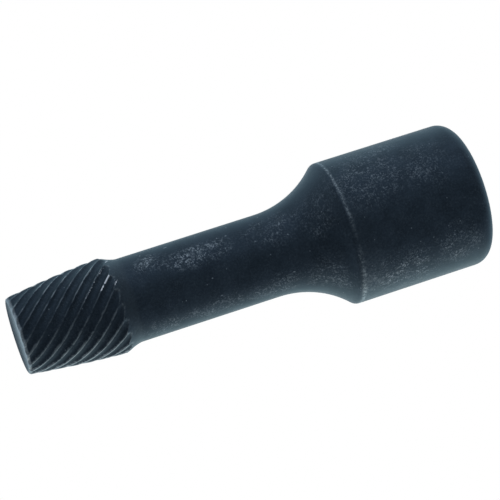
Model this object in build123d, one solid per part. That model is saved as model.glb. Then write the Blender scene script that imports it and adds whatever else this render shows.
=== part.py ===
from build123d import *
import os
from math import acos, asin, atan, cos, hypot, pi, radians, sin, sqrt, tan

# Left-hand spiral screw extractor, forged, turned and fluted from one steel bar.
# It stands on its drive face: origin at the middle of that face, +Z towards the tip.
# Lengths are millimetres and angles are degrees.

# Drive head
head_diameter = 24.0
head_length = 24.6
rear_edge_radius = 2.7
shoulder_edge_radius = 1.2

# Flare and shank
flare_radius = 16.3
shank_diameter = 13.9
overall_length = 78.0

# Tapered working end: a turned cone with a slight bulge, and the run-out behind it
taper_length = 16.0
taper_large_diameter = 15.9
taper_tip_diameter = 12.65
taper_bulge = 0.165
tip_edge_radius = 0.5
runout_length = 2.6
runout_radius = 7.2

# Spiral flutes of round section with narrow crests between them. The depth is at the large end;
# the overrun is the angle by which a cut's arc runs past the turned surface.
flute_count = 19
flute_depth = 0.45
crest_width = 0.16
spiral_lead = 45.0
first_crest_angle = -15.4
flute_overrun = 5.0
flute_end_clearance = 0.2
flute_steps = 7

# Square drive socket: pilot hole, broached square and lead-in
drive_across_flats = 12.8
drive_corner_radius = 0.9
drive_depth = 16.0
pilot_over_flats = 0.2
pilot_past_square = 1.2
drill_point_angle = 118.0
lead_in_past_corners = 0.1
lead_in_angle = 120.0

# Recesses for the driver's spring ball, one in each wall of the socket
detent_from_face = 8.0
detent_diameter = 5.0
detent_depth = 0.7
detent_count = 4

# Worked out from the sizes above
head_radius = head_diameter / 2
shank_radius = shank_diameter / 2
taper_large_radius = taper_large_diameter / 2
taper_tip_radius = taper_tip_diameter / 2
taper_start = overall_length - taper_length
runout_start = taper_start - runout_length
turn_per_height = 2 * pi / spiral_lead


def arc_middle(start, end, radius):
    """Middle point of the hollow arc of a given radius between two points of the section.

    The chord's middle moves towards the left of the line from start to end by the arc's rise,
    radius - sqrt(radius^2 - half_chord^2).
    """
    run = end[0] - start[0]
    climb = end[1] - start[1]
    chord = hypot(run, climb)
    rise = radius - sqrt(radius**2 - (chord / 2) ** 2)
    middle_x = (start[0] + end[0]) / 2 - rise * climb / chord
    middle_z = (start[1] + end[1]) / 2 + rise * run / chord
    return middle_x, middle_z


def taper_radius(z):
    """Radius of the turned taper at height z: a straight cone plus a shallow parabola."""
    along = (z - taper_start) / taper_length
    straight = taper_large_radius + (taper_tip_radius - taper_large_radius) * along
    return straight + 4 * taper_bulge * along * (1 - along)


def turned_blank():
    """The bar as turned, before fluting and broaching: one half section revolved about Z."""
    # Rear edge of the head, a quarter round
    rear_flat = (head_radius - rear_edge_radius, 0)
    rear_side = (head_radius, rear_edge_radius)

    # The hollow flare is tangent to the shank and to the rounded shoulder of the head
    shoulder_centre_x = head_radius - shoulder_edge_radius
    shoulder_centre_z = head_length - shoulder_edge_radius
    shoulder_side = (head_radius, shoulder_centre_z)
    centres_apart = flare_radius + shoulder_edge_radius
    lean = acos((shank_radius + flare_radius - shoulder_centre_x) / centres_apart)
    flare_top = (
        shoulder_centre_x + shoulder_edge_radius * cos(lean),
        shoulder_centre_z + shoulder_edge_radius * sin(lean),
    )
    flare_foot = (shank_radius, shoulder_centre_z + centres_apart * sin(lean))

    # Run-out groove behind the taper
    runout_foot = (shank_radius, runout_start)
    taper_foot = (taper_large_radius, taper_start)

    # The tip's rounded edge is tangent to the end face and to the taper, whose side leans in there
    tip_slope = (taper_large_radius - taper_tip_radius + 4 * taper_bulge) / taper_length
    tip_lean = atan(tip_slope)
    edge_centre_x = taper_tip_radius - tip_edge_radius * (1 - sin(tip_lean)) / cos(tip_lean)
    edge_centre_z = overall_length - tip_edge_radius
    taper_end = (
        edge_centre_x + tip_edge_radius * cos(tip_lean),
        edge_centre_z + tip_edge_radius * sin(tip_lean),
    )
    tip_rim = (edge_centre_x, overall_length)
    taper_middle_z = (taper_start + taper_end[1]) / 2
    taper_middle = (taper_radius(taper_middle_z), taper_middle_z)

    with BuildSketch(Plane.XZ) as section:
        with BuildLine():
            Line((0, 0), rear_flat)
            RadiusArc(rear_flat, rear_side, -rear_edge_radius)
            Line(rear_side, shoulder_side)
            RadiusArc(shoulder_side, flare_top, -shoulder_edge_radius)
            ThreePointArc(flare_top, arc_middle(flare_top, flare_foot, flare_radius), flare_foot)
            Line(flare_foot, runout_foot)
            ThreePointArc(runout_foot, arc_middle(runout_foot, taper_foot, runout_radius), taper_foot)
            ThreePointArc(taper_foot, taper_middle, taper_end)
            RadiusArc(taper_end, tip_rim, -tip_edge_radius)
            Line(tip_rim, (0, overall_length))
            Line((0, overall_length), (0, 0))
        make_face()
    return revolve(section.sketch, Axis.Z)


def flute_section(z):
    """Level outline of one flute at height z.

    The hollow arc passes through the flute's root and its two edges on the turned surface. It
    runs a little past them, and an arc outside the taper closes it. Measured round the axis,
    a crest is 1 / cos(spiral angle) times as wide as it is square to the spiral.
    """
    surface_radius = taper_radius(z)
    spiral_angle = atan(turn_per_height * surface_radius)
    edge_angle = pi / flute_count - crest_width / cos(spiral_angle) / 2 / surface_radius
    root_radius = surface_radius * (1 - flute_depth / taper_large_radius)

    # An arc of half chord a and rise b has the radius (a^2 + b^2) / 2b
    half_chord = surface_radius * sin(edge_angle)
    rise = surface_radius * cos(edge_angle) - root_radius
    arc_radius = (half_chord**2 + rise**2) / (2 * rise)
    half_sweep = asin(half_chord / arc_radius) + radians(flute_overrun)
    end_across = arc_radius * sin(half_sweep)
    end_along = root_radius + arc_radius * (1 - cos(half_sweep))
    end_radius = hypot(end_along, end_across)

    start_angle = radians(first_crest_angle) + pi / flute_count
    middle_angle = start_angle - turn_per_height * (z - taper_start)

    def place(along, across):
        x = along * cos(middle_angle) - across * sin(middle_angle)
        y = along * sin(middle_angle) + across * cos(middle_angle)
        return Vector(x, y, z)

    left = place(end_along, end_across)
    right = place(end_along, -end_across)
    hollow = Edge.make_three_point_arc(left, place(root_radius, 0), right)
    closing = Edge.make_three_point_arc(right, place(end_radius, 0), left)
    return Wire([hollow, closing])


def flute_cutters():
    """What is cut away: one flute lofted along the spiral, copied round the axis."""
    highest = overall_length + flute_end_clearance
    step = (highest - runout_start) / flute_steps
    heights = [runout_start + step * index for index in range(flute_steps + 1)]
    cutter = Solid.make_loft([flute_section(z) for z in heights])
    return [cutter.rotate(Axis.Z, 360 * index / flute_count) for index in range(flute_count)]


def drive_socket():
    """The space in the head: lead-in, broached square, pilot hole and ball recesses."""
    square = RectangleRounded(drive_across_flats, drive_across_flats, drive_corner_radius)
    space = extrude(square, drive_depth)

    # The pilot hole is a little wider than the square's flats and runs past its end
    pilot_radius = (drive_across_flats + pilot_over_flats) / 2
    pilot_depth = drive_depth + pilot_past_square
    point_height = pilot_radius / tan(radians(drill_point_angle / 2))
    space += extrude(Circle(pilot_radius), pilot_depth)
    space += Pos(0, 0, pilot_depth) * revolve(
        Plane.XZ * make_face(Polyline((0, 0), (pilot_radius, 0), (0, point_height), (0, 0))),
        Axis.Z,
    )

    # The lead-in is a wide cone at the mouth that just clears the square's corners
    corner_reach = sqrt(2) * (drive_across_flats / 2 - drive_corner_radius) + drive_corner_radius
    lead_in_radius = corner_reach + lead_in_past_corners
    lead_in_height = lead_in_radius / tan(radians(lead_in_angle / 2))
    space += revolve(
        Plane.XZ * make_face(Polyline((0, 0), (lead_in_radius, 0), (0, lead_in_height), (0, 0))),
        Axis.Z,
    )

    # Each ball recess is a shallow cap of a sphere sunk in the middle of a flat
    ball_radius = ((detent_diameter / 2) ** 2 + detent_depth**2) / (2 * detent_depth)
    ball_offset = drive_across_flats / 2 + detent_depth - ball_radius
    ball = Pos(ball_offset, 0, detent_from_face) * Sphere(ball_radius)
    for index in range(detent_count):
        space += ball.rotate(Axis.Z, 360 * index / detent_count)
    return space


def extractor_body():
    """The whole tool: the turned blank less its flutes and its drive socket."""
    body = turned_blank() - flute_cutters()
    return body - drive_socket()


os.makedirs("parts", exist_ok=True)
extractor = extractor_body()
extractor.label = "extractor_body"
export_step(extractor, "parts/extractor_body.step")
print("volume mm3", round(extractor.volume, 1))
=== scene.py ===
# %% [markdown]
# # A spiral screw extractor
#
# The tool is one steel bar: a round head with a square socket, a hollow flare, a plain shank
# and a short fluted taper that bites into a broken screw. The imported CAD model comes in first,
# as a fixed frame. Everything made here sits on it, in the same metres and the same place.

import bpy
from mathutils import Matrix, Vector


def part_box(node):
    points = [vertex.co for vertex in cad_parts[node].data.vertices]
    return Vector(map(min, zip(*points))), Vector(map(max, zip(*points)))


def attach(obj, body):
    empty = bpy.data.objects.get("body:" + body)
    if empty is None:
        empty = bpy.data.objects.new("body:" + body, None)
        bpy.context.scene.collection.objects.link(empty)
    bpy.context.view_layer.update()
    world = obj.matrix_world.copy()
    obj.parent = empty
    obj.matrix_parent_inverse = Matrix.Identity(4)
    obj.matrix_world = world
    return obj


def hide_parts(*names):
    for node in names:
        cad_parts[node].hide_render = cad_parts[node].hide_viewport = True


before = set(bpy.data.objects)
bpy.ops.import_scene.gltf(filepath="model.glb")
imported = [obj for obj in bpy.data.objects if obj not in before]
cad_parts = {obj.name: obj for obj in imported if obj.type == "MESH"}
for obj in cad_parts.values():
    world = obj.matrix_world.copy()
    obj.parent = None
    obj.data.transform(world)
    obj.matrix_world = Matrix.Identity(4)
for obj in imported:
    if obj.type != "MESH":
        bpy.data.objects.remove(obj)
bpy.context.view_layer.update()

# %% [markdown]
# ## Sizes
#
# The overall height and the head's radius are read from the frame, so the new surface can't
# drift away from the CAD. The other sizes are the turner's own, in millimetres. Work is done
# in millimetres and turned into metres once, when the mesh is made.

import bmesh
import bpy
import numpy as np
from math import acos, atan, cos, pi, radians, sin, sqrt, tan
from mathutils import Matrix, Vector

MM = 0.001
low_corner, high_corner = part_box("extractor_body")
overall_length = (high_corner[2] - low_corner[2]) / MM
head_radius = (high_corner[0] - low_corner[0]) / 2 / MM

# Head, flare and shank
head_length = 24.6
rear_edge_radius = 2.7
shoulder_edge_radius = 1.2
flare_radius = 16.3
shank_radius = 6.95

# Taper, its rounded tip edge, and the run-out groove behind it
taper_length = 16.0
taper_large_radius = 7.95
taper_tip_radius = 6.325
taper_bulge = 0.165
tip_edge_radius = 0.5
runout_length = 2.6
runout_radius = 7.2

# Flutes, with the lead being the height of one full turn
flute_count = 19
flute_depth = 0.45
crest_width = 0.16
spiral_lead = 45.0
first_crest_angle = radians(-15.4)

taper_start = overall_length - taper_length
runout_start = taper_start - runout_length
turn_per_height = 2 * pi / spiral_lead
pitch = 2 * pi / flute_count
half_pitch = pitch / 2
print("overall", round(overall_length, 2), "mm, head radius", round(head_radius, 2), "mm")

# %% [markdown]
# ## The turned outline of the working end
#
# Before the flutes are cut, the working end is a turned shape: a short hollow run-out, a cone
# with a slight bulge, and a rounded edge at the tip. Each is a plain function of height, so a
# whole array of heights gives a whole array of radii in one go.

# %% Turned radius as a function of height
tip_slope = (taper_large_radius - taper_tip_radius + 4 * taper_bulge) / taper_length
tip_lean = atan(tip_slope)
tip_edge_x = taper_tip_radius - tip_edge_radius * (1 - sin(tip_lean)) / cos(tip_lean)
tip_edge_z = overall_length - tip_edge_radius
tip_edge_start = tip_edge_z + tip_edge_radius * sin(tip_lean)

# The run-out's arc joins the shank to the taper; its centre lies outside the steel
runout_step = taper_large_radius - shank_radius
runout_chord = np.hypot(runout_step, runout_length)
runout_rise = sqrt(runout_radius**2 - (runout_chord / 2) ** 2)
runout_middle_x = (shank_radius + taper_large_radius) / 2
runout_middle_z = (runout_start + taper_start) / 2
runout_centre_x = runout_middle_x + runout_rise * runout_length / runout_chord
runout_centre_z = runout_middle_z - runout_rise * runout_step / runout_chord


def taper_radius(z):
    """The cone's radius at height z: a straight line plus a shallow parabola."""
    along = (z - taper_start) / taper_length
    straight = taper_large_radius + (taper_tip_radius - taper_large_radius) * along
    return straight + 4 * taper_bulge * along * (1 - along)


def turned_radius(z):
    """Radius before fluting: run-out arc below the taper, the taper, a quarter round above.

    Both arcs are circles: the centre's distance from the axis, less or plus the root of the
    arc's radius squared less the height from the centre squared.
    """
    in_runout = np.clip(runout_radius**2 - (z - runout_centre_z) ** 2, 0, None)
    runout = runout_centre_x - np.sqrt(in_runout)
    above = np.clip(z - tip_edge_z, 0, tip_edge_radius)
    rounded = tip_edge_x + np.sqrt(tip_edge_radius**2 - above**2)
    upper = np.where(z > tip_edge_start, rounded, taper_radius(z))
    return np.where(z < taper_start, runout, upper)


measured = turned_radius(np.array([runout_start, taper_start, overall_length]))
print("radius at run-out, taper foot, tip:", np.round(measured, 3))

# %% [markdown]
# ## The flutes
#
# A flute is a long hollow of round section that winds round the taper. Modelling the cutter and
# subtracting it would work, but a boolean leaves ragged triangles. Here the surface is instead
# the lower of two radii, the turned one and the flute's, on a grid whose columns follow the
# spiral. The edges of the crests then lie exactly on columns, so they stay crisp.

# %% Flute radius as a function of angle and height
blend_width = 0.05


def edge_angle(z):
    """Angle from a flute's middle to its edge: half the pitch less half the crest.

    Measured level, a crest is wider by the root of one plus (turn per height x radius) squared.
    """
    radius = taper_radius(z)
    level_crest = crest_width * np.sqrt(1 + (turn_per_height * radius) ** 2)
    return half_pitch - level_crest / 2 / radius


def flute_radius(away, z):
    """Where a ray at an angle from the flute's middle meets the flute's hollow circle.

    An arc of half chord a and rise b has the radius (a squared + b squared) / 2b. From the axis,
    the ray meets it at c cos(away) less the root of (radius squared - (c sin(away)) squared),
    where c is the distance of the circle's centre.
    """
    surface = taper_radius(z)
    root = surface * (1 - flute_depth / taper_large_radius)
    half_chord = surface * np.sin(edge_angle(z))
    rise = surface * np.cos(edge_angle(z)) - root
    circle = (half_chord**2 + rise**2) / (2 * rise)
    centre = root + circle
    return centre * np.cos(away) - np.sqrt(circle**2 - (centre * np.sin(away)) ** 2)


def soft_lower(first, second, width=blend_width):
    """The lower of two values, less a small parabola where they come within the width."""
    near = np.clip(width - np.abs(first - second), 0, None) / width
    return np.minimum(first, second) - near**2 * width / 4


depth_at_foot = taper_large_radius - flute_radius(0.0, taper_start)
print("flute depth at the taper's foot", round(float(depth_at_foot), 3), "mm")

# %% [markdown]
# ## Columns and rows
#
# Each pitch has fifteen columns in the flute and three on the crest. Column places are fractions
# of the flute's own width, which changes with height, so they are kept as two numbers: a share
# of the edge angle and a share of half a pitch. Rows follow the places where the flute runs out
# at both ends, found by halving an interval for all columns at once.

# %% Column places
flute_right = np.array([0.2, 0.4, 0.6, 0.78, 0.9, 0.965, 1.0])
in_flute = np.concatenate([-flute_right[::-1], [0.0], flute_right])
on_crest = np.array([0.5, 1.0, 1.5])
edge_share = np.tile(np.concatenate([in_flute, 1 - on_crest]), flute_count)
pitch_share = np.tile(np.concatenate([0 * in_flute, on_crest]), flute_count)
flute_number = np.repeat(np.arange(flute_count), len(in_flute) + len(on_crest))
columns = len(edge_share)
halvings = 40


def away_from_middle(z):
    """Angle from the flute's middle to each column: both shares times their own angles."""
    return edge_share * edge_angle(z) + pitch_share * half_pitch


def folded(away):
    """The same angle brought back into the nearest flute, so it runs from 0 to half a pitch."""
    return np.abs((away + half_pitch) % pitch - half_pitch)


def column_angle(z):
    """Angle round the axis: the flute's middle turns back as the spiral climbs."""
    climbed = np.clip(z, runout_start, overall_length) - taper_start
    middle = first_crest_angle + half_pitch + flute_number * pitch - turn_per_height * climbed
    return middle + away_from_middle(np.clip(z, runout_start, overall_length))


def crossing(inside, outside):
    """Height where the turned surface meets the flute, by halving; crests keep the inside's."""
    near = np.full(columns, inside)
    far = np.full(columns, outside)
    for _ in range(halvings):
        middle = (near + far) / 2
        fluted = flute_radius(folded(away_from_middle(middle)), middle) < turned_radius(middle)
        near = np.where(fluted, middle, near)
        far = np.where(fluted, far, middle)
    return np.where(pitch_share > 0, inside, (near + far) / 2)


# A flute ends at its foot in the run-out and at its head on the tip's rounded edge
flute_foot = crossing(taper_start, runout_start)
flute_head = crossing(tip_edge_start, overall_length)
print("columns", columns)
print("flutes run from", flute_foot.min().round(2), "to", flute_head.max().round(2), "mm")

# %% [markdown]
# ## Wear along the crests
#
# The crests are the first thing to be knocked and rubbed. A little of their height is taken off
# in an uneven way, with a few deeper nicks, so their bright lines break up as they do on the
# real tool. The unevenness is smooth noise along each crest, from a fixed seed. Two more sets of
# numbers serve the marks later: how bright a crest is and how its line sways.

# %% Uneven crests
crest_wear_depth = 0.035
crest_wear_reach = 0.15
wear_step = 0.45
numbers_each = 200
draws = np.random.default_rng(19)
wear_noise = draws.random((flute_count, numbers_each))
shine_noise = draws.random((flute_count, numbers_each))
sway_noise = draws.random((flute_count, numbers_each))

# Nicks as height, degrees round the axis, depth and half length
nicks = [
    (68.0, -18.0, 0.16, 0.35),
    (67.2, -92.0, 0.10, 0.60),
    (70.9, -102.0, 0.11, 0.70),
    (73.4, -48.0, 0.09, 0.30),
    (75.2, -70.0, 0.08, 0.40),
    (65.0, -118.0, 0.08, 0.30),
    (69.5, 40.0, 0.14, 0.40),
    (64.4, 110.0, 0.12, 0.50),
    (72.6, 160.0, 0.13, 0.40),
]


def eased(share):
    """An S-shaped ramp from 0 to 1: the share squared times (3 - twice the share)."""
    return share * share * (3 - 2 * share)


def bell(distance, reach):
    """A bell curve: e to the power of minus (distance / reach) squared."""
    return np.exp(-((distance / reach) ** 2))


def turned_from(angle, start):
    """The turn from a start to an angle, brought into minus to plus half a turn."""
    return (angle - start + pi) % (2 * pi) - pi


def noise_along(z, row, numbers, step):
    """Value noise: random numbers a fixed step apart, eased from one to the next."""
    place = np.clip((z - runout_start) / step, 0, None)
    index = place.astype(int)
    share = eased(place - index)
    return numbers[row, index] * (1 - share) + numbers[row, index + 1] * share


def crest_row(away):
    """Which crest a column is nearest to, the one after its own flute or the one before."""
    return (flute_number + np.where(away < 0, -1, 0)) % flute_count


def taken_off(away, z, angle):
    """Height lost at the crests: a bell across each crest times the uneven wear and the nicks.

    The uneven wear is the depth times the noise squared. Each nick is a bell round its place.
    """
    from_crest = (half_pitch - folded(away)) * taper_radius(z)
    lost = crest_wear_depth * noise_along(z, crest_row(away), wear_noise, wear_step) ** 2
    for height, degrees, depth, half_length in nicks:
        turn = turned_from(angle, radians(degrees))
        distance = np.hypot(z - height, turn * taper_radius(z))
        lost = lost + depth * bell(distance, half_length)
    return bell(from_crest, crest_wear_reach) * lost


print("crest wear up to", crest_wear_depth, "mm, nicks", len(nicks))

# %% [markdown]
# ## The grid of the fluted end
#
# Rows go down from the middle of the end face to the shank. Each block of rows is an array of
# radii and heights with one pair for each column.

# %% Rows from the tip to the shank
def block(radii, heights):
    """One block of rows, each with one radius and one height all round."""
    pairs = np.stack(np.broadcast_arrays(radii, heights), axis=-1)
    return np.broadcast_to(pairs[:, None, :], (len(pairs), columns, 2))


def fluted_rows(heights):
    """Rows over the flutes: the lower of the turned and the fluted radius, less the wear."""
    away = away_from_middle(heights)
    fluted = flute_radius(folded(away), heights)
    radii = soft_lower(turned_radius(heights), fluted)
    radii = radii - taken_off(away, heights, column_angle(heights))
    return np.stack([radii, heights], axis=-1)


# End face, from its middle to the rim
face_share = np.array([0.0, 0.3, 0.6, 0.85, 0.95, 1.0])
end_face = block(tip_edge_x * face_share, overall_length)

# Rounded edge of the tip, from the rim to where each column's flute begins
head_turn = np.arcsin(np.clip((flute_head - tip_edge_z) / tip_edge_radius, 0, 1))
edge_steps = np.array([0.2, 0.4, 0.6, 0.75, 0.87, 0.95, 1.0])[:, None]
tip_turn = pi / 2 + edge_steps * (head_turn - pi / 2)
tip_edge = fluted_rows(tip_edge_z + tip_edge_radius * np.sin(tip_turn))

# The flutes, with a few close rows at both ends for the rounding there
flute_steps = np.concatenate([
    [0.002, 0.005, 0.01],
    np.linspace(0.02, 0.98, 84),
    [0.99, 0.995, 0.998, 1.0],
])
flutes = fluted_rows(flute_head + flute_steps[:, None] * (flute_foot - flute_head))

# The run-out groove behind them
runout_steps = np.array([0.02, 0.05, 0.1, 0.18, 0.28, 0.4, 0.52, 0.64, 0.76, 0.88, 1.0])[:, None]
runout = fluted_rows(flute_foot + runout_steps * (runout_start - flute_foot))
print("rows on face, tip edge, flutes, run-out:", *map(len, [end_face, tip_edge, flutes, runout]))

# %% [markdown]
# ## The shank, the flare and the head
#
# Below the run-out the tool is round, so one outline serves every column. It is made of short
# straight stretches and arcs, each tangent to the next, as a lathe would leave them.

# %% Rows from the shank to the drive face
shoulder_x = head_radius - shoulder_edge_radius
shoulder_z = head_length - shoulder_edge_radius
centres_apart = flare_radius + shoulder_edge_radius
flare_lean = acos((shank_radius + flare_radius - shoulder_x) / centres_apart)
flare_foot_z = shoulder_z + centres_apart * sin(flare_lean)


def arc_rows(centre_x, centre_z, radius, start, end, count):
    """Rows along an arc from one angle to another, without its first point."""
    turn = start + (end - start) * np.arange(1, count + 1) / count
    return block(centre_x + radius * np.cos(turn), centre_z + radius * np.sin(turn))


shank_steps = np.array([0.01, 0.05, 0.2, 0.4, 0.6, 0.8, 0.95, 1.0])
shank_heights = runout_start + (flare_foot_z - runout_start) * shank_steps
shank = block(shank_radius, shank_heights)

flare_x = shank_radius + flare_radius
flare = arc_rows(flare_x, flare_foot_z, flare_radius, pi, pi + flare_lean, count=16)
shoulder = arc_rows(shoulder_x, shoulder_z, shoulder_edge_radius, flare_lean, 0, count=9)

side_steps = np.array([0.004, 0.009, 0.015, 0.025, 0.25, 0.5, 0.75, 0.98, 1.0])
side_heights = shoulder_z + (rear_edge_radius - shoulder_z) * side_steps
head_side = block(head_radius, side_heights)

rear_x = head_radius - rear_edge_radius
rear_edge = arc_rows(rear_x, rear_edge_radius, rear_edge_radius, 0, -pi / 2, count=14)
print("shank from", round(runout_start, 2), "down to", round(flare_foot_z, 2), "mm")

# %% [markdown]
# ## The drive socket
#
# The square socket is broached into a drilled hole. The mouth has a wide lead-in, each wall has
# a shallow round recess for the driver's ball, and the drill's cone is left at the bottom. The
# wall's distance from the axis is again a formula in angle and height.

# %% Socket sizes and walls
half_flats = 6.4
corner_radius = 0.9
square_depth = 16.0
pilot_radius = 6.5
pilot_depth = 17.2
drill_point_angle = radians(118)
lead_in_angle = radians(120)
lead_in_past_corners = 0.1
ball_height = 8.0
ball_recess_radius = 2.5
ball_recess_depth = 0.7


def wall_radius(angle):
    """Distance from the axis to a square wall with round corners, opened by the pilot hole.

    A flat is half the flats over the cosine of the angle. A corner is the far side of its round,
    seen from the axis. Nowhere is the wall nearer than the pilot hole's radius.
    """
    fold = np.abs((angle + pi / 4) % (pi / 2) - pi / 4)
    corner = half_flats - corner_radius
    flat = half_flats / np.cos(fold)
    across_corner = corner * (np.cos(fold) - np.sin(fold))
    past_corner = np.sqrt(np.clip(corner_radius**2 - across_corner**2, 0, None))
    rounded = corner * (np.cos(fold) + np.sin(fold)) + past_corner
    square = np.where(np.tan(fold) * half_flats <= corner, flat, rounded)
    return np.maximum(square, pilot_radius)


def recess_radius(angle, z):
    """Distance from the axis to the far side of the ball that sinks the recess.

    A cap of half width a and depth b has the ball radius (a squared + b squared) / 2b.
    """
    ball = (ball_recess_radius**2 + ball_recess_depth**2) / (2 * ball_recess_depth)
    offset = half_flats + ball_recess_depth - ball
    fold = (angle + pi / 4) % (pi / 2) - pi / 4
    inside = ball**2 - (z - ball_height) ** 2 - (offset * np.sin(fold)) ** 2
    reach = offset * np.cos(fold) + np.sqrt(np.clip(inside, 0, None))
    return np.where(inside > 0, reach, 0)


socket_angle = column_angle(np.array(0.0))
wall = wall_radius(socket_angle)
print("socket wall from", wall.min().round(2), "to", wall.max().round(2), "mm from the axis")

# %% [markdown]
# The rows go in at the mouth, up the wall with close rows over the ball recesses, and end in the
# drill's cone. A recess is blended into the flat by the same soft rule as a flute into its crest.

# %% Rows from the drive face to the bottom of the socket
lead_in_radius = sqrt(2) * (half_flats - corner_radius) + corner_radius + lead_in_past_corners
ring = block(lead_in_radius, [0.0])

mouth_height = (lead_in_radius - wall) / tan(lead_in_angle / 2)
mouth_steps = np.array([0.25, 0.5, 0.75, 1.0])[:, None]
mouth_radii = lead_in_radius + mouth_steps * (wall - lead_in_radius)
mouth = np.stack([mouth_radii, mouth_steps * mouth_height], axis=-1)

recess_margin = 0.3
recess_top = ball_height + ball_recess_radius + recess_margin
recess_foot = ball_height - ball_recess_radius - recess_margin
lower_steps = np.array([0.05, 0.35, 0.7, 1.0])[:, None]
recess_heights = np.linspace(recess_foot, recess_top, 33)[1:, None]
upper_heights = np.array([12.0, 14.0, 15.8, square_depth])[:, None]
wall_heights = np.concatenate([
    mouth_height + lower_steps * (recess_foot - mouth_height),
    np.broadcast_to(recess_heights, (len(recess_heights), columns)),
    np.broadcast_to(upper_heights, (len(upper_heights), columns)),
])
wall_radii = -soft_lower(-wall, -recess_radius(socket_angle, wall_heights))
sides = np.stack([wall_radii, wall_heights], axis=-1)

pilot = block(pilot_radius, [square_depth, pilot_depth])
point_height = pilot_radius / tan(drill_point_angle / 2)
point_share = np.array([0.7, 0.4, 0.15, 0.0])
drill_point = block(pilot_radius * point_share, pilot_depth + point_height * (1 - point_share))
print("socket mouth radius", round(lead_in_radius, 2), "mm")
print("socket bottom at", round(pilot_depth + point_height, 2), "mm")

# %% [markdown]
# ## One closed surface
#
# All blocks are stacked into one grid that closes round the axis. Every row turns with the
# spiral down to the run-out, and from there on all rows keep the same angles.

# %% Stack the rows
blocks = {
    "end face": end_face,
    "tip edge": tip_edge,
    "flutes": flutes,
    "run-out": runout,
    "shank": shank,
    "flare": flare,
    "shoulder": shoulder,
    "head side": head_side,
    "rear edge": rear_edge,
    "ring": ring,
    "mouth": mouth,
    "sides": sides,
    "pilot": pilot,
    "drill point": drill_point,
}
grid = np.concatenate(list(blocks.values()))
radii, heights = grid[..., 0], grid[..., 1]
rows = len(grid)
row_number = np.arange(rows)[:, None]
first_row = dict(zip(blocks, np.cumsum([0] + [len(part) for part in blocks.values()])))

working_end = np.clip(heights, runout_start, overall_length)
winding = row_number < first_row["shank"]
angles = column_angle(np.where(winding, working_end, runout_start))
points = np.stack([radii * np.cos(angles), radii * np.sin(angles), heights], axis=-1) * MM
print("grid:", rows, "rows x", columns, "columns")

# %% [markdown]
# ## Where the tool is worn, and where it is painted bright
#
# A tool that is laid down and rolled wears on two sides and least between them. Here the two
# sides are also painted brighter where the light falls on them, a painted highlight, and least on
# the side facing the tent's dark opening. How worn each point is, and what it is, crest, edge or
# flute bottom, is kept on the mesh as attributes, which are numbers from 0 to about 1 that the
# finish reads later. A sine round the axis gives the sides. They are called lower and upper as
# the picture shows them.

# %% Worn sides, with painted highlight
least_worn_and_lit_side = radians(-79)
wear_and_light_between = 0.22
wear_and_light_at_sides = 0.78
side_power = 1.6
extra_lower = 0.15
extra_upper = 0.25
# Painted highlight: least on the side facing the dark opening, most on the lit sides.
across = np.sin(angles - least_worn_and_lit_side)
lower_side = np.clip(-across, 0, 1)
upper_side = np.clip(across, 0, 1)
side_wear_and_light = wear_and_light_between + wear_and_light_at_sides * np.abs(across) ** side_power
side_wear_and_light = side_wear_and_light + extra_lower * lower_side + extra_upper * upper_side
print("wear from", side_wear_and_light.min().round(2), "to", side_wear_and_light.max().round(2))

# %% [markdown]
# ### Crests and flute bottoms
#
# The rubbed line of a crest is a bell curve of the distance from it. On the real tool these
# lines sway a little and are bright and dull by turns. On the lower side they are painted wider
# and more even, a painted highlight where the light falls. Behind the taper's foot they fade out.

# %% Mark the crests
# Painted highlight: wider crest lines on the lower side, where the light falls.
line_reach = 0.21 + 0.19 * lower_side + 0.04 * upper_side
line_sway = 0.18
sway_step = 0.5
shine_step = 0.9
foot_fade = 0.35

on_flutes = (row_number >= first_row["tip edge"]) & (row_number < first_row["shank"])
away = away_from_middle(working_end)
nearest = crest_row(away)
sway = line_sway * (noise_along(working_end, nearest, sway_noise, sway_step) - 0.5)
past_crest = (away % pitch - half_pitch) * taper_radius(working_end) - sway
past_foot = np.clip((flute_foot - heights) / foot_fade, 0, 1)
crest = np.where(on_flutes, bell(past_crest, line_reach) * (1 - past_foot), 0)

# Painted highlight: the lower side's crest lines are painted brighter and more even.
least_shine = 0.25 + 0.35 * lower_side
most_shine = 1.0 - 0.07 * lower_side
shine = noise_along(working_end, nearest, shine_noise, shine_step)
crest = crest * (least_shine + (most_shine - least_shine) * shine)

depth = np.clip((turned_radius(working_end) - radii) / flute_depth, 0, 1)
depth = np.where(on_flutes, depth, 0)
print("crest marks up to", crest.max().round(2), "and depth marks up to", depth.max().round(2))

# %% [markdown]
# ### Edges
#
# Two more edges are rubbed: the scallops where the flutes run out into the groove, and the
# turned shoulder of the head. The shoulder's line is partly rubbing and partly a painted highlight
# on its rounding: thin and broken, nearly gone on the side facing the dark opening, and broader
# low on the lower side, where the light falls.

# %% Mark the scallops and the shoulder
scallop_reach = 0.16
in_hollow = pitch_share == 0
scallop = np.where(on_flutes, bell(heights - flute_foot, scallop_reach) * in_hollow, 0)

# The shoulder's line is broadest round -135 degrees, low on the lower side
shoulder_line_z = shoulder_z - 0.05
# Painted highlight: the shoulder's line is broadest where the lower light falls.
shoulder_reach = 0.20 + 0.25 * np.clip(-np.sin(angles + radians(45)) - 0.3, 0, 1)
on_outside = radii > shoulder_x - 1
shoulder_rub_and_highlight = bell(heights - shoulder_line_z, shoulder_reach) * on_outside

# Painted highlight: the line fades on the side facing the dark opening.
least_knocked_and_lit_side = radians(-99)
knock_and_light_spread = 2.2
edge_between = 0.12
edge_at_sides = 0.63
knocked_and_lit = np.clip(knock_and_light_spread * np.abs(np.sin(angles - least_knocked_and_lit_side)), 0, 1)
shoulder_rub_and_highlight = shoulder_rub_and_highlight * (edge_between + edge_at_sides * eased(knocked_and_lit))
print("points marked as shoulder:", int((shoulder_rub_and_highlight > 0.1).sum()))

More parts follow.
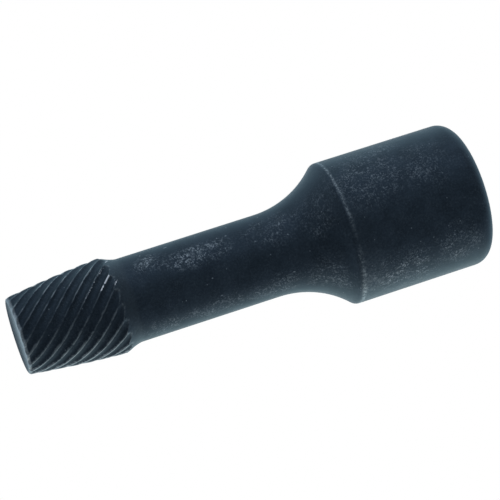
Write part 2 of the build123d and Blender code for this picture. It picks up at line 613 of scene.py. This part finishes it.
# %% [markdown]
# ### The end face
#
# The tip's face is painted paler towards one side, a painted highlight, and is matt with dirt
# towards the other. Round its rim it is rubbed bright, with more painted highlight on the same
# side. The painted share falls in a straight line across the face.

# %% Mark the end face
on_tip = (row_number < first_row["run-out"]) & (heights > tip_edge_z)
# Partly rubbed rim, partly painted highlight: the band is wider on one side.
rim_reach = 0.44 + 0.22 * np.clip(-np.sin(angles - radians(-60)), 0, 1) ** 2
rim_width = 0.3
by_rim = np.clip((radii - tip_edge_x + rim_width) / rim_width, 0, 1)
near_rim = bell(overall_length - heights, rim_reach) * by_rim

# Painted highlight: the face is painted paler towards one side.
painted_light_share = np.clip(0.5 - 0.55 * radii / tip_edge_x * np.sin(angles), 0, 1)
on_face = heights > overall_length - 0.01
rim_rub_and_light = near_rim * (0.42 + 0.82 * painted_light_share)
face_rub_and_light = on_face * (0.08 + 0.84 * painted_light_share**2)
tip_rub_and_light = np.where(on_tip, np.maximum(rim_rub_and_light, face_rub_and_light), 0)
tip_dirt = np.where(on_face, 1 - painted_light_share, 0)
print("points marked on the tip:", int(on_tip.sum()))

# %% [markdown]
# ### Bright strokes along the crests
#
# Here and there a crest is scraped down to bright steel. Each stroke is a straight stretch on
# the unrolled taper, and its mark is a bell curve of the distance from that stretch.

# %% Mark the scraped stretches
stroke_reach = 0.14

# Strokes as height and degrees round the axis at both ends, and strength
scraped = [
    ((62.0, -54), (63.0, -61.5), 1.0),
    ((63.4, -64.5), (64.0, -69), 0.9),
    ((61.1, -62), (61.7, -68), 0.6),
    ((61.0, -18), (61.4, -26), 0.6),
    ((62.2, -38), (67.3, -77), 0.42),
    ((70.2, 120), (71.6, 109), 0.6),
    ((63.0, 48), (64.8, 34), 0.8),
]
bare_steel = np.zeros_like(radii)
for (start_z, start_turn), (end_z, end_turn), strength in scraped:
    along_z = end_z - start_z
    along_arc = radians(end_turn - start_turn) * taper_large_radius
    apart_z = heights - start_z
    apart_arc = turned_from(angles, radians(start_turn)) * taper_large_radius
    share = (apart_z * along_z + apart_arc * along_arc) / (along_z**2 + along_arc**2)
    share = np.clip(share, 0, 1)
    distance = np.hypot(apart_z - share * along_z, apart_arc - share * along_arc)
    bare_steel = np.maximum(bare_steel, strength * bell(distance, stroke_reach))
bare_steel = bare_steel * on_flutes
print("scraped stretches:", len(scraped))

# %% [markdown]
# ## The mesh
#
# Each point makes a four-sided face with its neighbours in the next row and column, and the last
# column joins the first. The rows of zero radius at both ends and the few rows that fall
# together are merged, so the surface is one closed skin. The normals are then worked out again,
# so that all faces look outwards.

# %% Build the mesh
scene = bpy.context.scene
merge_distance = 0.002 * MM
sharp_angle = radians(32)
row_start = row_number[:-1] * columns
column_number = np.arange(columns)
corner = row_start + column_number
beside = row_start + (column_number + 1) % columns
faces = np.stack([corner, corner + columns, beside + columns, beside], axis=-1).reshape(-1, 4)

mesh = bpy.data.meshes.new("extractor_surface")
mesh.from_pydata(points.reshape(-1, 3).tolist(), [], faces.tolist())
marks = {
    "crest": crest,
    "depth": depth,
    "scallop": scallop,
    "shoulder_rub_and_highlight": shoulder_rub_and_highlight,
    "tip_rub_and_light": tip_rub_and_light,
    "tip_dirt": tip_dirt,
    "side_wear_and_light": side_wear_and_light,
    "bare_steel": bare_steel,
}
for name, values in marks.items():
    layer = mesh.attributes.new(name, "FLOAT", "POINT")
    layer.data.foreach_set("value", np.ascontiguousarray(values, dtype=np.float32).ravel())

skin = bmesh.new()
skin.from_mesh(mesh)
bmesh.ops.remove_doubles(skin, verts=skin.verts, dist=merge_distance)
bmesh.ops.recalc_face_normals(skin, faces=skin.faces)
open_edges = sum(1 for edge in skin.edges if not edge.is_manifold)
volume = skin.calc_volume(signed=True) / MM**3
skin.to_mesh(mesh)
skin.free()
mesh.shade_smooth()
mesh.set_sharp_from_angle(angle=sharp_angle)
mesh.update()


def add_object(name, data):
    """A new object in the scene that holds the given mesh, lamp or camera."""
    item = bpy.data.objects.new(name, data)
    scene.collection.objects.link(item)
    return item


extractor = add_object("extractor_surface", mesh)
mesh.calc_loop_triangles()
print("triangles", len(mesh.loop_triangles), "open edges", open_edges)
print("volume", round(volume, 1), "cubic mm")

# %% [markdown]
# ## The black phosphate finish
#
# The steel is dipped in a phosphate bath and oiled, which leaves a fine-grained blue-black skin.
# It shines a little at a flat angle and hardly at all straight on. On top of it lie pale dust
# and scuffs, in clouds, and the skin is rubbed through to grey along the crests and edges.
# A few helpers keep the node trees short: one adds a node, one fills its inputs, and the rest
# are sums.

# %% Small helpers for nodes
def new_node(tree, kind, **settings):
    """Add a node; settings that name an input set its value, the others are properties."""
    node = tree.nodes.new(kind)
    for key, value in settings.items():
        if key in node.inputs:
            node.inputs[key].default_value = value
        else:
            setattr(node, key, value)
    return node


def feed(tree, node, *values):
    """Fill a node's inputs in turn: sockets are linked, plain values are set."""
    for slot, value in zip(node.inputs, values):
        if isinstance(value, bpy.types.NodeSocket):
            tree.links.new(value, slot)
        else:
            slot.default_value = value
    return node


def maths(tree, operation, *values, clamp=False):
    """The result of a Math node on numbers or sockets."""
    node = new_node(tree, "ShaderNodeMath", operation=operation, use_clamp=clamp)
    return feed(tree, node, *values).outputs[0]


def vector_maths(tree, operation, *values, output="Vector"):
    """One output of a Vector Math node on vectors or sockets."""
    node = new_node(tree, "ShaderNodeVectorMath", operation=operation)
    return feed(tree, node, *values).outputs[output]


def between(tree, value, low, high, smooth=True):
    """Map a value from low..high to 0..1, eased unless told otherwise."""
    node = new_node(tree, "ShaderNodeMapRange")
    node.interpolation_type = "SMOOTHSTEP" if smooth else "LINEAR"
    return feed(tree, node, value, low, high).outputs["Result"]


def upward(tree, vector):
    """The Z part of a vector."""
    return feed(tree, new_node(tree, "ShaderNodeSeparateXYZ"), vector).outputs["Z"]


def noise(tree, place, scale, detail, roughness):
    """Noise in millimetres: scale is the number of waves in one millimetre."""
    node = new_node(tree, "ShaderNodeTexNoise", Scale=scale, Detail=detail, Roughness=roughness)
    return feed(tree, node, place).outputs["Fac"]


# %% [markdown]
# Two more helpers mix colours and start a node group. A group has named inputs and outputs, and
# puts out only masks here. The shader stays in the material.

# %% Helpers for colours and groups
def blend_colour(tree, share, first, second):
    """Mix two colours by a share: first x (1 - share) + second x share."""
    node = new_node(tree, "ShaderNodeMix", data_type="RGBA")
    tree.links.new(share, node.inputs[0])
    for slot, value in ((node.inputs[6], first), (node.inputs[7], second)):
        if isinstance(value, tuple):
            slot.default_value = (*value, 1)
        else:
            tree.links.new(value, slot)
    return node.outputs[2]


def new_group(name, inputs, outputs):
    """An empty node group with named sockets, and its input and output nodes."""
    group = bpy.data.node_groups.new(name, "ShaderNodeTree")
    for title, kind, value in inputs:
        item = group.interface.new_socket(title, in_out="INPUT", socket_type=kind)
        if value is not None:
            item.default_value = value
    for title, kind in outputs:
        group.interface.new_socket(title, in_out="OUTPUT", socket_type=kind)
    return group, group.nodes.new("NodeGroupInput"), group.nodes.new("NodeGroupOutput")


# %% [markdown]
# ### Dust and scuffs
#
# Handling leaves short curly scuffs, fine flecks, a pale haze and a few single specks. A scuff is
# a thin line where a noise passes its middle value, and a second, finer noise breaks it up. A
# fleck is where the finer noise is high, and a speck is the middle of a cell, in a few cells.

# %% Scuff group
FLOAT, VECTOR = "NodeSocketFloat", "NodeSocketVector"
scuff_group, scuff_in, scuff_out = new_group(
    "dust_and_scuffs",
    [
        ("Place", VECTOR, None),
        ("Scuff Scale", FLOAT, 1.25),
        ("Fleck Scale", FLOAT, 3.2),
        ("Haze Scale", FLOAT, 1.2),
    ],
    [("Scuffs", FLOAT), ("Flecks", FLOAT), ("Haze", FLOAT), ("Specks", FLOAT)],
)


def group_noise(scale, detail, roughness, distortion=0.0):
    """A noise inside the group that reads its Place and one of its scales."""
    node = new_node(scuff_group, "ShaderNodeTexNoise", Detail=detail, Roughness=roughness)
    node.inputs["Distortion"].default_value = distortion
    scuff_group.links.new(scuff_in.outputs["Place"], node.inputs["Vector"])
    scuff_group.links.new(scuff_in.outputs[scale], node.inputs["Scale"])
    return node.outputs["Fac"]


coarse = group_noise("Scuff Scale", detail=3.0, roughness=0.6, distortion=0.9)
from_middle = maths(scuff_group, "ABSOLUTE", maths(scuff_group, "SUBTRACT", coarse, 0.5))
curl = between(scuff_group, from_middle, low=0.070, high=0.012)
fine = group_noise("Fleck Scale", detail=3.0, roughness=0.7)
gaps = between(scuff_group, fine, low=0.45, high=0.60)
broken_curl = maths(scuff_group, "MULTIPLY", curl, gaps)
flecks = between(scuff_group, fine, low=0.61, high=0.74)
haze = between(scuff_group, group_noise("Haze Scale", detail=4.0, roughness=0.62), 0.44, 0.66)

cells = new_node(scuff_group, "ShaderNodeTexVoronoi", Scale=0.75)
feed(scuff_group, cells, scuff_in.outputs["Place"])
cell_value = new_node(scuff_group, "ShaderNodeSeparateColor")
feed(scuff_group, cell_value, cells.outputs["Color"])
cells_left_out = 0.72
chosen = maths(scuff_group, "GREATER_THAN", cell_value.outputs[0], cells_left_out)
spot = between(scuff_group, cells.outputs["Distance"], low=0.11, high=0.05)
specks = maths(scuff_group, "MULTIPLY", chosen, spot)

for title, mask in (("Scuffs", broken_curl), ("Flecks", flecks), ("Haze", haze), ("Specks", specks)):
    scuff_group.links.new(mask, scuff_out.inputs[title])
print("scuff group nodes:", len(scuff_group.nodes))

# %% [markdown]
# A patch is a soft ball or egg round a point of the surface. Inside it the mask is one, and it
# fades out towards its rim, so each patch only needs a middle, a reach and a strength.

# %% Patch group
patch_group, patch_in, patch_out = new_group(
    "soft_patch",
    [
        ("Place", VECTOR, None),
        ("Middle", VECTOR, (0, 0, 0)),
        ("Reach", VECTOR, (1, 1, 1)),
        ("Strength", FLOAT, 1.0),
    ],
    [("Mask", FLOAT)],
)
given = patch_in.outputs
apart = vector_maths(patch_group, "SUBTRACT", given["Place"], given["Middle"])
shares = vector_maths(patch_group, "DIVIDE", apart, given["Reach"])
share_out = vector_maths(patch_group, "LENGTH", shares, output="Value")
inside = between(patch_group, share_out, low=1.0, high=0.25)
mask = maths(patch_group, "MULTIPLY", inside, given["Strength"])
patch_group.links.new(mask, patch_out.inputs["Mask"])
print("patch group nodes:", len(patch_group.nodes))

# %% [markdown]
# ### Colours and coordinates
#
# Every pattern is a noise at its own scale that reads the place on the tool in millimetres. The
# colours run from the dark skin through dust and haze to rubbed and bare steel.

# %% Start the material
skin_dark = (0.0205, 0.0340, 0.0520)
skin_light = (0.0370, 0.0595, 0.0890)
flute_shade_colour = (0.006, 0.009, 0.014)
dust_colour = (0.270, 0.350, 0.440)
haze_colour = (0.070, 0.100, 0.125)
steel_colour = (0.27, 0.345, 0.41)
bare_colour = (0.76, 0.86, 1.0)
edge_tint = (0.72, 0.91, 1.0, 1)

finish = bpy.data.materials.new("black_phosphate")
finish.use_nodes = True
tree = finish.node_tree
shader = tree.nodes["Principled BSDF"]
where = new_node(tree, "ShaderNodeTexCoord")
in_millimetres = new_node(tree, "ShaderNodeVectorMath", operation="SCALE", Scale=1 / MM)
place = feed(tree, in_millimetres, where.outputs["Object"]).outputs[0]


def attribute(name):
    """A value kept on the mesh's points."""
    return new_node(tree, "ShaderNodeAttribute", attribute_name=name).outputs["Fac"]


def times(first, second):
    """One mask times another."""
    return maths(tree, "MULTIPLY", first, second)


def scaled(value, factor, offset):
    """A mask times a factor, plus an offset."""
    return maths(tree, "MULTIPLY_ADD", value, factor, offset)


def cut_noise(scale, detail, roughness, low, high, at=place):
    """Noise on the tool, cut off between two values."""
    return between(tree, noise(tree, at, scale, detail, roughness), low, high)


print("material", finish.name)

# %% [markdown]
# ### Where the dust lies
#
# Scuffs gather where the tool has been gripped or has lain on a bench: along the upper side of
# the shank, all along the lower side, and in a few clouds at the back. The lists give those
# places. Short bright strokes and pits of dust are written the same way, only smaller.

# %% Places of scuffs and strokes
# Patches as height, degrees round the axis, half length, half width, radius there, strength
patches = [
    (48.5, -59, 5.8, 2.7, 6.95, 1.25),
    (44.6, -58, 4.5, 2.8, 6.95, 0.9),
    (54.8, -47, 4.0, 2.7, 6.95, 1.0),
    (34.5, -58, 7.0, 4.4, 7.10, 0.5),
    (27.5, -66, 5.0, 5.5, 9.20, 0.40),
    (18.0, -52, 9.0, 8.5, 12.0, 0.54),
    (15.5, -24, 8.0, 4.0, 12.0, 0.50),
    (9.0, -58, 7.0, 6.5, 12.0, 0.40),
    (16.5, -142, 9.5, 6.4, 12.0, 0.88),
    (7.0, -130, 6.0, 5.6, 12.0, 0.6),
    (28.0, -134, 6.0, 5.0, 8.90, 0.54),
    (36.5, -138, 6.5, 3.4, 6.95, 0.52),
    (46.0, -142, 9.0, 3.2, 6.95, 0.48),
    (56.0, -146, 5.0, 3.0, 6.95, 0.52),
    (14.0, 35, 9.0, 5.5, 12.0, 0.7),
    (46.0, 48, 7.0, 2.8, 6.95, 0.9),
    (17.0, 126, 10.0, 7.5, 12.0, 0.50),
    (18.0, 161, 9.0, 5.5, 12.0, 0.50),
    (50.0, 138, 10.5, 3.4, 6.95, 0.62),
    (9.0, 92, 8.5, 6.5, 12.0, 0.42),
    (35.0, 92, 10.0, 4.0, 7.10, 0.50),
    (38.0, 160, 8.0, 3.2, 6.95, 0.45),
]

# Strokes and pits
strokes = [
    (51.6, -26.5, 0.42, 0.11, 6.95, 1.0),
    (55.9, -27.0, 0.16, 0.14, 6.95, 0.9),
    (54.7, -43.0, 0.34, 0.24, 6.95, 0.6),
    (42.0, -43.5, 0.24, 0.13, 6.95, 0.8),
    (43.5, -42.5, 0.12, 0.16, 6.95, 0.7),
    (46.5, -96.0, 0.20, 0.13, 6.95, 0.8),
    (47.6, -102.0, 0.14, 0.12, 6.95, 0.6),
    (43.9, -90.0, 0.12, 0.12, 6.95, 0.6),
    (51.5, -114.0, 0.14, 0.14, 6.95, 0.7),
    (38.0, -66.5, 0.14, 0.12, 6.95, 0.8),
    (36.4, -90.0, 0.12, 0.15, 6.95, 0.6),
    (32.7, -72.0, 0.14, 0.16, 7.23, 0.8),
    (33.4, -122.0, 0.30, 0.14, 7.12, 0.7),
    (45.7, -123.0, 0.30, 0.16, 6.95, 0.5),
    (49.0, 80.0, 0.40, 0.12, 6.95, 0.9),
    (39.5, 150.0, 0.20, 0.14, 6.95, 0.7),
    (12.5, 72.0, 0.30, 0.14, 12.0, 0.8),
]


def strongest(start, entries):
    """The strongest of several soft patches at each point, and never less than the start."""
    mask = start
    for height, degrees, half_length, half_width, radius, strength in entries:
        node = new_node(tree, "ShaderNodeGroup", node_tree=patch_group)
        turn = radians(degrees)
        middle = (radius * cos(turn), radius * sin(turn), height)
        reach = (half_width, half_width, half_length)
        feed(tree, node, place, middle, reach, strength)
        mask = maths(tree, "MAXIMUM", mask, node.outputs["Mask"])
    return mask


# The patches are cloudy, not even, and the clouds lie lengthwise
scuffs_elsewhere = 0.06
cloud_stretch = (1, 1, 0.55)
lengthwise = vector_maths(tree, "MULTIPLY", place, cloud_stretch)
cloud = cut_noise(scale=0.6, detail=4.0, roughness=0.65, low=0.38, high=0.64, at=lengthwise)
scuffed = times(strongest(scuffs_elsewhere, patches), scaled(cloud, 1.0, 0.25))
print("patches", len(patches), "strokes", len(strokes))

# %% [markdown]
# ### The skin
#
# Phosphate grows as fine crystals, so the skin is grainy at a third of a millimetre and mottled
# at a few millimetres. Both noises together pick a tone between the dark and the light skin.
# The bottoms of the flutes are painted darker, as painted shade.

# %% Skin and painted shade in the flutes
mottle = cut_noise(scale=0.35, detail=4.0, roughness=0.6, low=0.3, high=0.7)
grain = cut_noise(scale=3.2, detail=3.0, roughness=0.7, low=0.36, high=0.64)
grain_part = 0.55
tone = maths(tree, "ADD", times(mottle, 1 - grain_part), times(grain, grain_part), clamp=True)
colour = blend_colour(tree, tone, skin_dark, skin_light)

# Painted shade: darker towards the flute bottoms.
flute_shade_strength = 0.20
flute_painted_shade = times(attribute("depth"), flute_shade_strength)
colour = blend_colour(tree, flute_painted_shade, colour, flute_shade_colour)
print("skin nodes so far:", len(tree.nodes))

# %% [markdown]
# ### Dust, scuffs and haze
#
# The group's masks are weighed, kept to the scuffed patches and laid over the skin, haze first.
# The run-out groove is hazy all round, because nothing rubs it clean.

# %% Dust over the skin
dust = new_node(tree, "ShaderNodeGroup", node_tree=scuff_group)
tree.links.new(place, dust.inputs["Place"])
scuff_strength = 0.92
fleck_strength = 0.45
speck_strength = 0.45
haze_strength = 0.50
groove_haze = 0.22

scuffs = times(dust.outputs["Scuffs"], scuff_strength)
flecks = times(dust.outputs["Flecks"], fleck_strength)
dusted = times(maths(tree, "MAXIMUM", scuffs, flecks), scuffed)
single = times(dust.outputs["Specks"], speck_strength)
single = maths(tree, "MAXIMUM", single, strongest(0.0, strokes))
dusted = maths(tree, "MAXIMUM", dusted, single)

haze = times(times(dust.outputs["Haze"], scuffed), haze_strength)
height = upward(tree, place)
above_shank = between(tree, height, runout_start - 0.8, runout_start + 0.4)
below_flutes = between(tree, height, taper_start + 0.2, taper_start - 1.2)
in_groove = times(times(above_shank, below_flutes), groove_haze)
haze = maths(tree, "MAXIMUM", haze, in_groove)
colour = blend_colour(tree, haze, colour, haze_colour)
colour = blend_colour(tree, dusted, colour, dust_colour)
print("nodes with dust:", len(tree.nodes))

# %% [markdown]
# ### Rubbed crests, edges and end face, and painted highlights
#
# The marks on the mesh say where the skin is rubbed through, and where a painted highlight is
# laid on with it: on the lit sides of the crests, the shoulder and the end face. A noise added to
# the crest's mark before it is cut off makes the line's edges wander, and a noise times the mark
# breaks it up.

# %% Rubbed places and painted highlights
worn_and_lit = attribute("side_wear_and_light")
rub_noise = cut_noise(scale=2.2, detail=4.0, roughness=0.7, low=0.38, high=0.66)
edge_noise = cut_noise(scale=2.0, detail=4.0, roughness=0.8, low=0.44, high=0.60)


def wandering(name, scale, detail, roughness, low, high):
    """A mark plus a noise of about zero on average, cut off between two values."""
    wobble = scaled(noise(tree, place, scale, detail, roughness), 1.1, -0.55)
    return between(tree, maths(tree, "ADD", attribute(name), wobble), low, high)


crest_line = wandering("crest", scale=2.4, detail=3.0, roughness=0.65, low=0.22, high=0.80)
# Rubbed crests, with painted highlight brightest on the lit sides.
crest_rub_and_light = times(times(crest_line, scaled(rub_noise, 0.25, 0.65)), worn_and_lit)
scallop_rub = times(attribute("scallop"), times(rub_noise, 0.35))
# Rubbed shoulder and painted highlight on its rounding.
edge_rub_and_highlight = times(attribute("shoulder_rub_and_highlight"), scaled(edge_noise, 0.85, 0.1))
# Rubbed rim and painted highlight on the end face, mixed towards steel.
tip_face_rub_and_light = times(attribute("tip_rub_and_light"), scaled(rub_noise, 0.5, 0.6))
# Rubbing and painted highlights together, mixed towards steel.
rub_and_light = maths(tree, "ADD", crest_rub_and_light, scallop_rub)
rub_and_light = maths(tree, "ADD", rub_and_light, edge_rub_and_highlight, clamp=True)
rub_and_light = maths(tree, "MAXIMUM", rub_and_light, tip_face_rub_and_light)
colour = blend_colour(tree, rub_and_light, colour, steel_colour)

bare = wandering("bare_steel", scale=3.0, detail=2.0, roughness=0.6, low=0.35, high=0.70)
colour = blend_colour(tree, bare, colour, bare_colour)
tree.links.new(colour, shader.inputs["Base Color"])
print("nodes with wear:", len(tree.nodes))

# %% [markdown]
# ### Metal, roughness and bump
#
# The skin is shaded as a dark metal, so reflections keep its blue tint. Dust isn't metal, and
# the scraped strokes are so rough that they look pale from every side, so both bring the
# metallic value down. Rubbed places are a little smoother, and the dirty side of the end face
# is rougher. A very fine bump stands for the crystals.

# %% Finish the shader
shader.inputs["Specular Tint"].default_value = edge_tint
metal = scaled(dusted, -0.5, 0.9)
metal = maths(tree, "MULTIPLY_ADD", bare, -0.5, metal, clamp=True)
tree.links.new(metal, shader.inputs["Metallic"])

smoother = times(maths(tree, "ADD", rub_and_light, bare, clamp=True), 0.08)
rough = maths(tree, "SUBTRACT", scaled(grain, 0.10, 0.44), smoother)
rough = maths(tree, "MULTIPLY_ADD", attribute("tip_dirt"), scaled(grain, 0.25, 0.32), rough)
tree.links.new(rough, shader.inputs["Roughness"])

bump = new_node(tree, "ShaderNodeBump", Strength=0.35, Distance=0.03 * MM)
crystals = noise(tree, place, scale=7.0, detail=4.0, roughness=0.65)
tree.links.new(crystals, bump.inputs["Height"])
tree.links.new(bump.outputs["Normal"], shader.inputs["Normal"])

mesh.materials.append(finish)
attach(extractor, "root")
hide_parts("extractor_body")
print("finish nodes:", len(tree.nodes))

# %% [markdown]
# ## Floor, light and camera
#
# The photograph is a plain product shot on white. The tool stands on its drive face here, on a
# sheet of paper that gives off its own white. The paper lights nothing, so the tool throws no
# shadow on it and takes no glow from below.

# %% Floor
floor_half = 3.0
paper_glow = 1.0
floor_corners = floor_half * np.array([(-1, -1, 0), (1, -1, 0), (1, 1, 0), (-1, 1, 0)])
floor_mesh = bpy.data.meshes.new("floor")
floor_mesh.from_pydata(floor_corners.tolist(), [], [(0, 1, 2, 3)])
floor = add_object("floor", floor_mesh)

paper = bpy.data.materials.new("white_paper")
paper.use_nodes = True
paper_shader = paper.node_tree.nodes["Principled BSDF"]
paper_look = {
    "Base Color": (0, 0, 0, 1),
    "Roughness": 0.9,
    "Specular IOR Level": 0.0,
    "Emission Color": (1, 1, 1, 1),
    "Emission Strength": paper_glow,
}
for name, value in paper_look.items():
    paper_shader.inputs[name].default_value = value
floor_mesh.materials.append(paper)
floor.visible_glossy = False
floor.visible_diffuse = False
print("floor", 2 * floor_half, "m wide")

# %% [markdown]
# ### Light
#
# Round dark metal shows what stands about it. The photograph has a bright tent at the sides and
# behind, and a darker opening where the camera is, so the middle of each round form is dark and
# its edges are pale. The world is that tent: its strength grows with the angle from the opening
# and falls off overhead, past the tip. The camera sees plain white in its place.

# %% Tent
tent_dark = 0.300
tent_bright = 1.136
opening_turn = radians(5)
opening_edge = -0.874
overhead_shade = 0.30

world = bpy.data.worlds.new("studio")
scene.world = world
world.use_nodes = True
sky = world.node_tree
tent = sky.nodes["Background"]
direction = new_node(sky, "ShaderNodeTexCoord").outputs["Generated"]

level = vector_maths(sky, "MULTIPLY", direction, (1, 1, 0))
unit = vector_maths(sky, "NORMALIZE", level)
backwards = (sin(opening_turn), cos(opening_turn), 0)
facing_back = vector_maths(sky, "DOT_PRODUCT", unit, backwards, output="Value")
towards_back = between(sky, facing_back, opening_edge, 1.0)
glow = maths(sky, "MULTIPLY_ADD", towards_back, tent_bright - tent_dark, tent_dark)

overhead = between(sky, upward(sky, direction), -0.05, 0.65, smooth=False)
shade = maths(sky, "MULTIPLY_ADD", overhead, -overhead_shade, 1.0)
sky.links.new(maths(sky, "MULTIPLY", glow, shade), tent.inputs["Strength"])
tent.inputs["Color"].default_value = (1, 1, 1, 1)

backdrop = new_node(sky, "ShaderNodeBackground", Strength=paper_glow)
backdrop.inputs["Color"].default_value = (1, 1, 1, 1)
seen = new_node(sky, "ShaderNodeLightPath")
choose = new_node(sky, "ShaderNodeMixShader")
feed(sky, choose, seen.outputs["Is Camera Ray"], tent.outputs[0], backdrop.outputs[0])
sky.links.new(choose.outputs[0], sky.nodes["World Output"].inputs["Surface"])
print("tent from", tent_dark, "to", tent_bright)

# %% [markdown]
# Two soft boxes stand level with the tool. The cooler one lights the picture's upper side,
# and the warmer one stands behind and brightens the lower edge.

# %% Soft boxes
def soft_box(name, from_front, distance, size, radiance, colour):
    """A square area light, turned by degrees from the front; power = pi x area x radiance."""
    lamp = bpy.data.lights.new(name, "AREA")
    lamp.shape = "SQUARE"
    lamp.size = size
    lamp.energy = pi * size**2 * radiance
    lamp.color = colour
    holder = add_object(name, lamp)
    outwards = Vector((sin(radians(from_front)), -cos(radians(from_front)), 0))
    holder.location = outwards * distance + Vector((0, 0, overall_length * MM / 2))
    holder.rotation_euler = (-outwards).to_track_quat("-Z", "Y").to_euler()
    print(name, "power", round(lamp.energy, 2), "W")


soft_box("upper_box", 54.6, 0.8, size=0.95, radiance=0.30, colour=(0.96, 1.0, 1.09))
soft_box("lower_box", -123.0, 0.8, size=1.15, radiance=0.58, colour=(1.19, 1.0, 0.73))

# %% [markdown]
# ### Camera
#
# The camera's place, tilt and lens were fitted to the photograph's outline. It looks a little
# down on the tool from the front, and is rolled so that the tool lies slanting in the picture,
# its tip at the lower left. The white ground stays white only with the standard display curve.

# %% Camera
camera_distance = 0.3394471
camera_height = 0.1073025
camera_pitch = 0.20157
camera_yaw = 0.0050016
picture_slant = radians(17.93)
focal_pixels = 2140.25
picture_pixels = 500
sensor_width = 36.0

forward = Vector((
    sin(camera_yaw),
    cos(camera_pitch) * cos(camera_yaw),
    -sin(camera_pitch) * cos(camera_yaw),
))
right = Vector((0, -sin(camera_pitch), -cos(camera_pitch)))
up = right.cross(forward).normalized()
right = forward.cross(up).normalized()
camera_x = right * cos(picture_slant) - up * sin(picture_slant)
camera_y = right * sin(picture_slant) + up * cos(picture_slant)

camera_data = bpy.data.cameras.new("camera")
camera = add_object("camera", camera_data)
camera_data.sensor_width = sensor_width
camera_data.lens = sensor_width * focal_pixels / picture_pixels
camera_data.clip_start = 0.01
camera_data.clip_end = 20.0
turned = Matrix((camera_x, camera_y, -forward)).transposed().to_4x4()
camera.matrix_world = Matrix.Translation((0, -camera_distance, camera_height)) @ turned
scene.camera = camera
scene.view_settings.view_transform = "Standard"
print("lens", round(camera_data.lens, 1), "mm")
